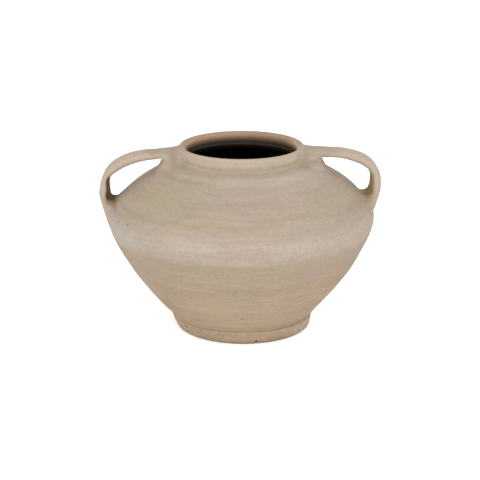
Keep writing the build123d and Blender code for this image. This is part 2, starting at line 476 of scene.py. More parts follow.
@dataclass(frozen=True)
class Patch:
    """A stain on the wall: an oval with a ragged, soft edge, by angle and height."""

    angle: float
    height: float
    half_width: float
    half_height: float
    tint: Clay
    strength: float
    softness: float = 0.5
    ragged: float = 0.28
    fine_cell: tuple[float, float, float] = (7, 7, 4)

    @property
    def seed(self) -> int:
        """A seed of the stain's own, mixed from its place."""
        return int(self.height * 7 + self.angle * 13) % 9973

    def cover(self, points: np.ndarray) -> np.ndarray:
        """How much of the stain lies on each point.

        Distance is measured round the pot and up it, in shares of the oval's halves,
        with soft noise added. The cover falls from full to none over the soft edge.

        Args:
            points: Points in millimetres.

        Returns:
            A share per point.
        """
        round_off = angle_from(points, self.angle) * np.hypot(points[:, 0], points[:, 1])
        across = round_off / self.half_width
        up = (points[:, 2] - self.height) / self.half_height
        broad_cell = (self.half_width / 2, self.half_width / 2, max(self.half_height / 2, 2.0))
        broad = Layer(self.ragged, broad_cell, self.seed)
        fine = Layer(self.ragged / 2, self.fine_cell, self.seed + 1)
        reach = np.hypot(across, up) + layered((broad, fine), points)
        return self.strength * smooth_step(1 + self.softness, 1 - self.softness, reach)


@dataclass(frozen=True)
class Smear:
    """A stain on a strap or its root: an oval seen from the front, by x and height."""

    x: float
    z: float
    half_x: float
    half_z: float
    tint: Clay
    strength: float
    softness: float = 0.5
    ragged: float = 0.2
    cell: tuple[float, float, float] = (6, 6, 6)
    front: float = 60.0
    front_fade: float = 15.0

    @property
    def seed(self) -> int:
        """A seed of the smear's own, mixed from its place."""
        return int(abs(self.x) * 3 + self.z)

    def cover(self, points: np.ndarray) -> np.ndarray:
        """How much of the smear lies on each point: an oval with a ragged, soft edge.

        Args:
            points: Points in millimetres.

        Returns:
            A share per point.
        """
        along = (points[:, 0] - self.x) / self.half_x
        over = (points[:, 2] - self.z) / self.half_z
        near = smooth_step(self.front, self.front - self.front_fade, np.abs(points[:, 1]))
        reach = np.hypot(along, over) + Layer(self.ragged, self.cell, self.seed).at(points)
        return self.strength * smooth_step(1 + self.softness, 1 - self.softness, reach) * near


@dataclass(frozen=True)
class Wash:
    """The colours that firing, slip and handling left on the clay, with painted shade inside the pot and in
    the straps' crotches, and painted light inside the lip.
    """

    outline: WallOutline
    outside: tuple[tuple[float, Clay], ...]
    throat: tuple[tuple[float, Clay], ...]
    stains: tuple[Patch | Smear, ...]
    throat_painted_light: tuple[Patch, ...]
    strap_share: float = 0.85
    strap_reach: tuple[float, float] = (1.5, 12)
    foot_fade: float = 2.0
    foot_blush: float = 0.009
    lip_depth: tuple[float, float] = (5.2, 9.4)
    floor_margin: float = 0.5
    throat_waver: float = 0.6
    warm_tint: tuple[float, float, float] = (1.0, -0.2, -1.4)
    drift: tuple[Layer, ...] = (
        Layer(0.030, (60, 60, 28), 13),
        Layer(0.042, (75, 75, 5), 14),
        Layer(0.040, (34, 34, 2.2), 15),
        Layer(0.026, (6, 6, 5), 16),
    )
    foot_speckle: tuple[Layer, ...] = (Layer(0.12, (5, 5, 3), 18), Layer(0.06, (2.4, 2.4, 1.6), 19))
    warmth: tuple[Layer, ...] = (Layer(0.014, (38, 38, 30), 17), Layer(0.012, (11, 11, 7), 20))
    foot_warmth: Layer = Layer(0.03, (12, 12, 8), 26)

    def by_height(self, stops: tuple[tuple[float, Clay], ...], heights: np.ndarray) -> np.ndarray:
        """Colour at each height, straight between the stops.

        Args:
            stops: Heights with their colours, rising.
            heights: Heights in millimetres.

        Returns:
            Linear red, green and blue, one row per height.
        """
        levels = [height for height, _ in stops]
        tints = np.array([tint.linear for _, tint in stops])
        return np.stack([np.interp(heights, levels, channel) for channel in tints.T], axis=1)

    def paint(self, points: np.ndarray) -> np.ndarray:
        """Colour of the clay at each point.

        The outside has a colour by height, whose levels waver with soft noise, and turns
        to the straps' colour away from the wall. Each stain is laid over the last, some of
        them painted shade in the straps' crotches, then streaks round the pot, and speckles
        on the foot. The inside has its own colours by height: painted shade that darkens from
        the lip down the throat to near black, with painted light on its sides. A point is
        inside where it lies well within the outline.

        Args:
            points: Points in millimetres.

        Returns:
            Linear red, green and blue, one row per point.
        """
        waver = layered(WAVER, points)
        colour = self.by_height(self.outside, points[:, 2] + waver)
        depth = self.outline.radius_at(points[:, 2]) - np.hypot(points[:, 0], points[:, 1])
        strap = self.strap_share * smooth_step(*self.strap_reach, -depth)
        colour = blend(colour, Clay.STRAP.linear, strap)
        for stain in self.stains:
            colour = blend(colour, stain.tint.linear, stain.cover(points))
        foot_top = self.outline.foot_height
        foot = smooth_step(foot_top, foot_top - self.foot_fade, points[:, 2])
        drift = layered(self.drift, points) + foot * layered(self.foot_speckle, points)
        warm = layered(self.warmth, points) + foot * (self.foot_blush + self.foot_warmth.at(points))
        colour = colour * (1 + drift[:, None] + warm[:, None] * np.array(self.warm_tint))
        # Painted shade inside the pot: the colour darkens from the lip down the throat to near black.
        dark = self.by_height(self.throat, points[:, 2] + self.throat_waver * waver)
        # Painted light on the throat's sides, tinting the painted shade there.
        for stain in self.throat_painted_light:
            shade_tinted = dark * stain.tint.linear / Clay.DARK_MARK_AND_THROAT_SHADE.linear
            dark = blend(dark, shade_tinted, stain.cover(points))
        within = smooth_step(*self.lip_depth, depth) * (points[:, 2] > foot_top - self.floor_margin)
        return blend(colour, dark, within)


@dataclass(frozen=True)
class Swell:
    """A place where the thrown wall is a little out of round, by angle and height."""

    angle: float
    height: float
    half_angle: float
    half_height: float
    rise: float

    def lift(self, points: np.ndarray) -> np.ndarray:
        """How far each point is lifted: a bell round the pot times a flat-topped bell in height.

        Args:
            points: Points in millimetres.

        Returns:
            A lift in millimetres per point.
        """
        across = angle_from(points, self.angle) / math.radians(self.half_angle)
        up = (points[..., 2] - self.height) / self.half_height
        return self.rise * np.exp(-(across**2) - up**4)


@dataclass(frozen=True)
class Relief:
    """The small hollows and lines that throwing, luting and wiping left."""

    outline: WallOutline
    cut_back: float = 0.36
    least_cut: float = 0.02
    inside_cut: float = 0.5
    belt_step: float = 0.24
    belt_foot: tuple[float, float] = (134.2, 135.8)
    belt_top: tuple[float, float] = (189.0, 171.0)
    groove_waver: float = 0.8
    unevenness: tuple[Layer, ...] = (
        Layer(0.22, (60, 60, 38), 21),
        Layer(0.09, (95, 95, 8), 22),
        Layer(0.055, (40, 40, 2.6), 23),
        Layer(0.03, (5, 5, 5), 24),
    )
    finger_ridges: tuple[Layer, ...] = (Layer(0.45, (120, 120, 9), 31), Layer(0.2, (35, 35, 22), 32))
    grooves: tuple[tuple[float, float, float], ...] = (
        (236.8, 1.3, 0.12),
        (232.3, 1.4, 0.2),
        (221.0, 1.3, 0.12),
        (184.0, 1.2, 0.12),
    )
    swells: tuple[Swell, ...] = (
        Swell(96, 205, 44, 25, 1.8),
        Swell(-90, 130, 40, 28, 0.8),
        Swell(-90, 123, 40, 16, 0.45),
        Swell(85, 72, 55, 32, 0.9),
        Swell(-90, 60, 45, 26, 0.5),
        Swell(0, 33, 400, 11, 0.7),
        Swell(90, 24, 60, 9, 0.9),
        Swell(-90, 24, 60, 9, -0.7),
    )

    def outside(self, points: np.ndarray) -> np.ndarray:
        """Depth of the outside at each point, proud of the CAD surface only at a swell.

        Broad dents, waves and fine lines round the pot are soft noise stretched along
        the turning. The belt stands a quarter of a millimetre proud, with a crisp lower
        edge, and four grooves are narrow bells in height. The swells lie over all.

        Args:
            points: Points in millimetres.

        Returns:
            Depths in millimetres, below zero where the wall is cut back.
        """
        height = points[..., 2]
        waver = layered(WAVER, points)
        belt = smooth_step(*self.belt_foot, height + waver) * smooth_step(*self.belt_top, height + waver)
        depth = layered(self.unevenness, points) + self.belt_step * (belt - 0.5)
        for groove, width, cut in self.grooves:
            off = (height + self.groove_waver * waver - groove) / width
            depth -= cut * np.exp(-(off**2))
        swell = sum(swell.lift(points) for swell in self.swells)
        return np.minimum(depth - self.cut_back, -self.least_cut) + swell

    def inside(self, points: np.ndarray) -> np.ndarray:
        """Depth of the inside at each point: finger ridges of soft noise, 9 mm apart."""
        return layered(self.finger_ridges, points) - self.inside_cut


@dataclass(frozen=True)
class EarthenwareFinish:
    """Unglazed, dry, fine-grained clay over the colours of a wash."""

    name: str = "earthenware"
    roughness: float = 0.86
    specular: float = 0.12
    grain_share: float = 0.38
    fleck_share: float = 0.23
    line_share: float = 0.19
    brushed_share: float = 0.15
    pore_share: float = 0.24
    pore_scale: float = 210
    pore_edge: tuple[float, float] = (0.10, 0.20)
    pore_choice: tuple[float, float] = (0.80, 0.82)
    pore_relief: float = 1.2
    line_relief: float = 0.7
    roughness_spread: float = 0.16
    bump_strength: float = 0.5
    bump_depth: float = 0.0004

    def material(self) -> bpy.types.Material:
        """Builds the material.

        The wash colour is multiplied by four noises around one: fine grain, soft
        flecks, level lines and upright brush lines. Small far-apart pores darken it,
        and the same grain and lines make the bump and vary the roughness.

        Returns:
            The material.
        """
        made = bpy.data.materials.new(self.name)
        made.use_nodes = True
        sheet = NodeSheet(made.node_tree)
        shader = sheet.kind("ShaderNodeBsdfPrincipled")
        place = sheet.add("ShaderNodeTexCoord").outputs["Object"]
        wash = sheet.add("ShaderNodeAttribute", attribute_name="wash").outputs["Color"]
        grain = sheet.noise(place, stretch=(1, 1, 1), scale=620, detail=5, roughness=0.7)
        fleck = sheet.noise(place, stretch=(1, 1, 1), scale=170, detail=3, roughness=0.6)
        lines = sheet.noise(place, stretch=(22, 22, 520), scale=1, detail=3, roughness=0.6)
        brushed = sheet.noise(place, stretch=(420, 420, 45), scale=1, detail=2, roughness=0.5)
        tone = sheet.math("MULTIPLY_ADD", grain, self.grain_share, 1 - self.grain_share / 2)
        shares = (self.fleck_share, self.line_share, self.brushed_share)
        for value, share in zip((fleck, lines, brushed), shares):
            level = sheet.math("SUBTRACT", value, 0.5)
            tone = sheet.math("MULTIPLY_ADD", level, share, tone)
        cells = sheet.add("ShaderNodeTexVoronoi")
        cells.inputs["Scale"].default_value = self.pore_scale
        sheet.join(place, cells.inputs["Vector"])
        pore = sheet.ramp(cells.outputs["Distance"], *self.pore_edge)
        rare = sheet.add("ShaderNodeSeparateColor")
        sheet.join(cells.outputs["Color"], rare.inputs["Color"])
        chosen = sheet.ramp(rare.outputs["Red"], *self.pore_choice)
        pores = sheet.math("MULTIPLY", sheet.math("SUBTRACT", 1.0, pore), chosen)
        tone = sheet.math("MULTIPLY", tone, sheet.math("MULTIPLY_ADD", pores, -self.pore_share, 1.0))
        colour = sheet.add("ShaderNodeVectorMath", operation="SCALE")
        sheet.join(wash, colour.inputs[0])
        sheet.join(tone, colour.inputs["Scale"])
        sheet.join(colour.outputs["Vector"], shader.inputs["Base Color"])
        smoothest = self.roughness - self.roughness_spread / 2
        rough = sheet.math("MULTIPLY_ADD", fleck, self.roughness_spread, smoothest)
        sheet.join(rough, shader.inputs["Roughness"])
        shader.inputs["Specular IOR Level"].default_value = self.specular
        height = sheet.math("MULTIPLY_ADD", lines, self.line_relief, grain)
        height = sheet.math("MULTIPLY_ADD", pores, -self.pore_relief, height)
        bump = sheet.add("ShaderNodeBump")
        bump.inputs["Strength"].default_value = self.bump_strength
        bump.inputs["Distance"].default_value = self.bump_depth
        sheet.join(height, bump.inputs["Height"])
        sheet.join(bump.outputs["Normal"], shader.inputs["Normal"])
        return made


class NodeSheet:
    """Adds nodes to one node tree and joins them."""

    def __init__(self, tree: bpy.types.NodeTree) -> None:
        """Keeps the tree to work on."""
        self.tree = tree

    def kind(self, name: str) -> bpy.types.Node:
        """The first node of a kind that the tree already has."""
        return next(node for node in self.tree.nodes if node.bl_idname == name)

    def add(self, name: str, **settings: object) -> bpy.types.Node:
        """Adds a node and sets its own fields.

        Args:
            name: Kind of node.
            **settings: Fields of the node, with their values.

        Returns:
            The node.
        """
        node = self.tree.nodes.new(name)
        for key, value in settings.items():
            setattr(node, key, value)
        return node

    def join(self, source: object, target: bpy.types.NodeSocket) -> None:
        """Links an output to an input, or writes a plain number into it.

        Args:
            source: An output socket or a number.
            target: The input socket.
        """
        if isinstance(source, bpy.types.NodeSocket):
            self.tree.links.new(source, target)
        else:
            target.default_value = source

    def math(self, operation: str, *values: object) -> bpy.types.NodeSocket:
        """Adds a Math node over sockets or numbers.

        Args:
            operation: What the node does.
            *values: Its inputs, in order.

        Returns:
            The node's output.
        """
        node = self.add("ShaderNodeMath", operation=operation)
        for value, socket in zip(values, node.inputs):
            self.join(value, socket)
        return node.outputs[0]

    def noise(
        self,
        place: bpy.types.NodeSocket,
        stretch: tuple[float, float, float],
        scale: float,
        detail: float,
        roughness: float,
    ) -> bpy.types.NodeSocket:
        """Adds a noise over stretched coordinates and returns its value.

        Args:
            place: Coordinates to read.
            stretch: Factor along x, y and z.
            scale: Scale of the noise.
            detail: How many finer layers it has.
            roughness: How strong the finer layers are.

        Returns:
            The noise's value socket.
        """
        mapping = self.add("ShaderNodeMapping")
        mapping.inputs["Scale"].default_value = stretch
        self.join(place, mapping.inputs["Vector"])
        node = self.add("ShaderNodeTexNoise")
        for key, value in (("Scale", scale), ("Detail", detail), ("Roughness", roughness)):
            node.inputs[key].default_value = value
        self.join(mapping.outputs["Vector"], node.inputs["Vector"])
        return node.outputs["Fac"]

    def ramp(self, source: bpy.types.NodeSocket, low: float, high: float) -> bpy.types.NodeSocket:
        """Adds a smooth step from 0 to 1 between two values.

        Args:
            source: Socket to take the step of.
            low: Value at which the step starts.
            high: Value at which it ends.

        Returns:
            The step's output.
        """
        node = self.add("ShaderNodeMapRange", interpolation_type="SMOOTHSTEP")
        node.inputs["From Min"].default_value = low
        node.inputs["From Max"].default_value = high
        self.join(source, node.inputs["Value"])
        return node.outputs["Result"]

    def seen(self) -> bpy.types.NodeSocket:
        """Adds what tells rays that show a backdrop: camera, glossy and transmission rays.

        Returns:
            A socket that is 1 for such a ray and 0 for any other.
        """
        path = self.add("ShaderNodeLightPath")
        both = self.math("MAXIMUM", path.outputs["Is Camera Ray"], path.outputs["Is Glossy Ray"])
        return self.math("MAXIMUM", both, path.outputs["Is Transmission Ray"])


@dataclass
class Pottery:
    """What every piece of the pot shares, and how a piece's mesh is written."""

    outline: WallOutline
    relief: Relief
    wash: Wash
    finish: EarthenwareFinish
    sharp_angle: float = 48.0

    def __post_init__(self) -> None:
        """Makes the one clay material."""
        self.clay = self.finish.material()

    def write(
        self,
        name: str,
        nodes: Iterable[str],
        points: np.ndarray,
        faces: list[np.ndarray],
        underside_shade: np.ndarray | float = 0.0,
    ) -> bpy.types.Object:
        """Writes a closed mesh, paints it and puts it in the place of its CAD nodes.

        The faces are turned round if the volume that they close comes out below zero.

        Args:
            name: Name of the piece.
            nodes: CAD nodes that the piece stands for.
            points: Points in millimetres, one to a row.
            faces: Arrays of faces, each with its own number of corners.
            underside_shade: Share of painted shade, in the rust colour, over the wash at each point.

        Returns:
            The object.
        """
        volume = sum(
            np.einsum("ij,ij->", points[f[:, 0]], np.cross(points[f[:, k]], points[f[:, k + 1]]))
            for f in faces
            for k in range(1, f.shape[1] - 1)
        )
        if volume < 0:
            faces = [f[:, ::-1] for f in faces]
        mesh = bpy.data.meshes.new(name)
        sizes = np.concatenate([np.full(len(f), f.shape[1]) for f in faces])
        corners = np.concatenate([f.ravel() for f in faces])
        mesh.vertices.add(len(points))
        mesh.vertices.foreach_set("co", (points * METRES).ravel())
        mesh.loops.add(len(corners))
        mesh.loops.foreach_set("vertex_index", corners.astype(np.int32))
        mesh.polygons.add(len(sizes))
        starts = np.concatenate(([0], np.cumsum(sizes)[:-1]))
        mesh.polygons.foreach_set("loop_start", starts.astype(np.int32))
        mesh.update(calc_edges=True)
        mesh.validate()
        mesh.shade_smooth()
        mesh.set_sharp_from_angle(angle=math.radians(self.sharp_angle))
        paint = mesh.color_attributes.new("wash", "FLOAT_COLOR", "POINT")
        rgba = np.ones((len(points), 4))
        # Painted shade on the straps' undersides, in the rust colour.
        share = np.broadcast_to(underside_shade, len(points))
        rgba[:, :3] = blend(self.wash.paint(points), Clay.RUST_AND_SHADE.linear, share)
        paint.data.foreach_set("color", rgba.ravel())
        mesh.materials.append(self.clay)
        piece = bpy.data.objects.new(name, mesh)
        bpy.context.scene.collection.objects.link(piece)
        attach(piece, "root")
        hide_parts(*nodes)
        LOG.info("%s: %d points, stands for %s", name, len(points), ", ".join(nodes))
        return piece

    def turn(
        self, name: str, node: str, section: np.ndarray, lean: np.ndarray | float = 0.0
    ) -> bpy.types.Object:
        """Turns a closed section about the axis into a ring.

        A point of the ring is the section's point carried round by the angle, moved
        along its normal by the relief of the side that it is on, then along X by the lean.

        Args:
            name: Name of the piece.
            node: CAD node that the ring stands for.
            section: Rows of radius, height, normal, outside share and inside share.
            lean: How far each row is moved along X.

        Returns:
            The object.
        """
        angles = np.linspace(0, 2 * math.pi, COLUMNS, endpoint=False)[None, :]
        radius, height, side, rise, outside, inside = section.T[:, :, None]
        level = np.broadcast_to(height, (len(section), COLUMNS))
        plain = np.stack([radius * np.cos(angles), radius * np.sin(angles), level], axis=2)
        depth = outside * self.relief.outside(plain) + inside * self.relief.inside(plain)
        far = radius + side * depth
        points = np.stack([far * np.cos(angles), far * np.sin(angles), height + rise * depth], axis=2)
        points[:, :, 0] += np.broadcast_to(lean, len(section))[:, None]
        index = np.arange(len(section) * COLUMNS).reshape(len(section), COLUMNS)
        up = np.roll(index, -1, axis=0)
        quads = np.stack([index, np.roll(index, -1, axis=1), np.roll(up, -1, axis=1), up], axis=2)
        return self.write(name, [node], points.reshape(-1, 3), [quads.reshape(-1, 4)])


def plain_run(points: list[Sequence[float]], pitch: float = 3.0) -> np.ndarray:
    """A polyline of a section without relief, its two end points left out.

    Args:
        points: Radius and height of each corner.
        pitch: Greatest step between the points that are added on its legs.

    Returns:
        Rows of radius, height, normal, outside share and inside share.
    """
    corners = np.array(points, dtype=float)
    legs = [even_steps(corners[i : i + 2], pitch)[:-1] for i in range(len(corners) - 1)]
    line = np.concatenate(legs)[1:]
    return np.column_stack([line, np.zeros((len(line), 4))])


def with_shares(stretch: np.ndarray, outside: float, inside: float) -> np.ndarray:
    """Adds the outside and inside shares to rows of radius, height and normal."""
    return np.column_stack([stretch, np.full(len(stretch), outside), np.full(len(stretch), inside)])


@dataclass(frozen=True)
class WallRing:
    """One thrown ring of the wall, keyed to its neighbours by a ridge and a groove."""

    name: str
    low: float
    high: float
    key_low: float
    key_high: float
    pitch: float
    inside_pitch: float = 2.4
    throat_pitch: float = 1.2

    def build(self, pottery: Pottery) -> bpy.types.Object:
        """Builds the ring: up the outside, over the joint, down the inside and back.

        Args:
            pottery: What all pieces share.

        Returns:
            The object.
        """
        outline = pottery.outline
        outer = outline.part_of(outline.outer(), self.low, self.high, self.pitch)
        if self.low >= outline.shoulder_top:
            bore = np.array([[outline.throat_radius, z, -1.0, 0.0] for z in (self.low, self.high)])
            inner = even_steps(bore, self.throat_pitch)[::-1]
        else:
            inner = outline.part_of(outline.inner(), self.low, self.high, self.inside_pitch)[::-1]
        over = key_corners(self.key_high, self.high)[::-1]
        under = key_corners(self.key_low, self.low)
        section = np.concatenate([
            with_shares(outer, 1, 0),
            plain_run([outer[-1, :2], *over, inner[0, :2]]),
            with_shares(inner, 0, 1),
            plain_run([inner[-1, :2], *under, outer[0, :2]]),
        ])
        return pottery.turn(self.name, self.name, section)


@dataclass(frozen=True)
class Foot:
    """The foot ring with its rounded heel, the floor slab in it and the coil over it."""

    outline: WallOutline
    heel_radius: float = 92.4
    heel_round: float = 5.0
    groove: float = 1.2
    bore_radius: float = 78.0
    ledge_radius: float = 88.0
    ledge_height: float = 9.5
    coil_radius: float = 7.0
    coil_rise: float = 6.4
    heel_flare: float = 0.9
    heel_lean: float = 2.6
    lean_start: float = 1.0
    relief_start: tuple[float, float] = (0.3, 3.0)
    relief_end: float = 1.0
    slab_rings: int = 44
    slab_columns: int = 240
    slab_sink: float = 0.35
    slab_edge: float = 2.0
    slab_fade: float = 12.0
    finger_rings: Layer = Layer(0.3, (7, 7, 7), 41)
    slab_dents: Layer = Layer(0.1, (30, 30, 30), 42)

    def side(self) -> np.ndarray:
        """The foot's side: the heel's round, the slope and the cut under the bowl.

        The heel turns from flat to the slope as a sine. The cut leans in under the bowl.

        Returns:
            Rows of radius, height, normal, outside share and inside share.
        """
        turn = np.linspace(0, math.pi / 2, 12)
        rise = 1 - np.cos(turn)
        heel_line = self.heel_radius - self.heel_round * (1 - np.sin(turn)) + self.heel_flare * rise
        heel = np.column_stack([heel_line, self.heel_round * rise])
        radius, height = self.outline.foot_radius, self.outline.foot_height
        slope = even_steps(np.array([heel[-1], [radius, height - self.groove]]), pitch=0.8)
        line = np.concatenate([heel, slope[1:], [[radius - self.groove, height]]])
        share = smooth_step(*self.relief_start, line[:, 1])
        share *= smooth_step(height, height - self.relief_end, line[:, 1])
        return np.column_stack([with_normals(line), share, np.zeros(len(line))])

    def build(self, pottery: Pottery) -> list[bpy.types.Object]:
        """Builds the ring, whose heel leans a little to one side, the slab and the coil.

        Args:
            pottery: What all pieces share.

        Returns:
            The three objects.
        """
        height = self.outline.foot_height
        side = self.side()
        back = plain_run([
            side[-1, :2],
            *key_corners(self.outline.foot_key, height)[::-1],
            (self.ledge_radius, height),
            (self.ledge_radius, self.ledge_height),
            (self.bore_radius, self.ledge_height),
            (self.bore_radius, 0.0),
            side[0, :2],
        ])
        section = np.concatenate([side, back])
        low = np.clip(1 - section[:, 1] / height, 0, 1)
        out = smooth_step(self.bore_radius + self.lean_start, self.ledge_radius, section[:, 0])
        ring = pottery.turn("foot_ring", "foot_ring", section, self.heel_lean * low * out)
        return [ring, self.slab(pottery), self.coil(pottery)]

    def slab(self, pottery: Pottery) -> bpy.types.Object:
        """Builds the floor slab: rings out along its top and underside, closed at the axis.

        The upper face has shallow rings left by the fingers: soft noise by radius.

        Args:
            pottery: What all pieces share.

        Returns:
            The object.
        """
        radii = np.linspace(0, self.ledge_radius, self.slab_rings + 1)[1:, None]
        angles = np.linspace(0, 2 * math.pi, self.slab_columns, endpoint=False)
        height = self.outline.foot_height
        places = np.broadcast_arrays(radii * np.cos(angles), radii * np.sin(angles), height)
        top = np.stack(places, axis=2)
        free = smooth_step(self.ledge_radius - self.slab_edge, self.ledge_radius - self.slab_fade, radii)
        rings = radii * np.array([1, 0, 0])
        dents = self.finger_rings.at(rings)[:, None] + self.slab_dents.at(top)
        top[:, :, 2] -= free * (self.slab_sink + dents)
        under = top.copy()
        under[:, :, 2] = self.ledge_height
        points, faces = closed_skin(np.concatenate([top, under[::-1]]))
        return pottery.write("floor_slab", ["floor_slab"], points, faces)

    def coil(self, pottery: Pottery) -> bpy.types.Object:
        """Builds the coil in the corner over the floor: a quarter round inside the wall.

        Args:
            pottery: What all pieces share.

        Returns:
            The object.
        """
        corner = np.array([self.outline.floor_radius, self.outline.foot_height])
        top = corner[1] + self.coil_rise
        wall = self.outline.part_of(self.outline.inner(), corner[1], top, pitch=0.8)
        start = math.atan2(*(wall[-1, :2] - corner)[::-1])
        sweep = start + np.linspace(0, 1, 12) * (math.pi - start)
        arc = corner + self.coil_radius * np.column_stack([np.cos(sweep), np.sin(sweep)])
        line = np.concatenate([arc, wall[:-1, :2]])
        section = np.column_stack([line, np.zeros((len(line), 4))])
        return pottery.turn("floor_coil", "floor_coil", section)


@dataclass(frozen=True)
class Body:
    """The six thrown rings of the wall, from the foot to the collar, and the seam's coil."""

    names: tuple[str, ...] = ("lower_bowl", "upper_bowl", "lower_belly", "upper_belly", "shoulder", "collar")
    pitches: tuple[float, ...] = (0.9, 0.9, 0.9, 0.9, 1.1, 0.6)
    collar_key: float = 82.0
    coil_half_width: float = 7.0
    coil_bulge: float = 3.0
    coil_bite: float = 0.8

    def build(self, pottery: Pottery) -> list[bpy.types.Object]:
        """Builds the rings from the foot up to the collar, then the seam coil.

        Args:
            pottery: What all pieces share.

        Returns:
            The objects.
        """
        outline = pottery.outline
        joints = outline.joints()
        levels = (outline.foot_height, *joints, outline.shoulder_top, outline.rim_base)
        middles = outline.radius_at(np.array(joints)) - outline.wall / 2
        keys = (outline.foot_key, *middles, self.collar_key, outline.rim_key)
        rows = zip(self.names, levels, levels[1:], keys, keys[1:], self.pitches)
        return [WallRing(*row).build(pottery) for row in rows] + [self.seam_coil(pottery, joints[1])]

    def seam_coil(self, pottery: Pottery, seam: float) -> bpy.types.Object:
        """Builds the coil pressed over the seam inside: the wall plus a low half oval.

        Args:
            pottery: What all pieces share.
            seam: Height of the seam.

        Returns:
            The object.
        """
        outline = pottery.outline
        half = self.coil_half_width
        wall = outline.part_of(outline.inner(), seam - half, seam + half, pitch=1.0)
        share = (wall[:, 1] - seam) / half
        bulge = self.coil_bulge * np.sqrt(np.clip(1 - share**2, 0, 1))
        face = with_shares(wall, 0, 1)
        face[:, :2] += wall[:, 2:] * bulge[:, None]
        back = with_shares(wall, 0, 0)[::-1][1:-1]
        back[:, :2] -= back[:, 2:4] * self.coil_bite
        return pottery.turn("seam_coil", "seam_coil", np.concatenate([face, back]))


@dataclass(frozen=True)
class Rim:
    """The thick rolled rim."""

    mouth_width: float = 3.0

    def build(self, pottery: Pottery) -> bpy.types.Object:
        """Builds the rim: out and over the crest, down the throat and back over the joint.

        Args:
            pottery: What all pieces share.

        Returns:
            The object.
        """
        outline = pottery.outline
        crest = even_steps(outline.crest(), pitch=0.55)
        crest[:, 2:] /= np.linalg.norm(crest[:, 2:], axis=1)[:, None]
        over = with_shares(crest, 1, 0)
        throat = outline.throat_radius
        mouth = smooth_step(throat + self.mouth_width, throat, crest[:, 0])
        over[:, 4] = 1 - mouth
        over[:, 5] = mouth
        over[0, 2:4] = outline.outer()[-1, 2:4]
        over[-1, 2:4] = (-1.0, 0.0)
        under = plain_run([crest[-1, :2], *key_corners(outline.rim_key, outline.rim_base), crest[0, :2]])
        return pottery.turn("rim_roll", "rim_roll", np.concatenate([over, under]))


@dataclass(frozen=True)
class Landing:
    """Where a strap's end spreads on the pot: an oval laid on the wall from the side.

    hug_top and hug_foot are how far the flare keeps to the wall at the oval's upper and
    lower end before it leaves for the strap, and pull is the same at the strap. The
    bulge pushes the flare out from the wall at the lower end.
    """

    height: float
    half_width: float
    half_height: float
    hug_top: float
    hug_foot: float
    pull_top: float
    pull_foot: float
    bulge: float = 0.0


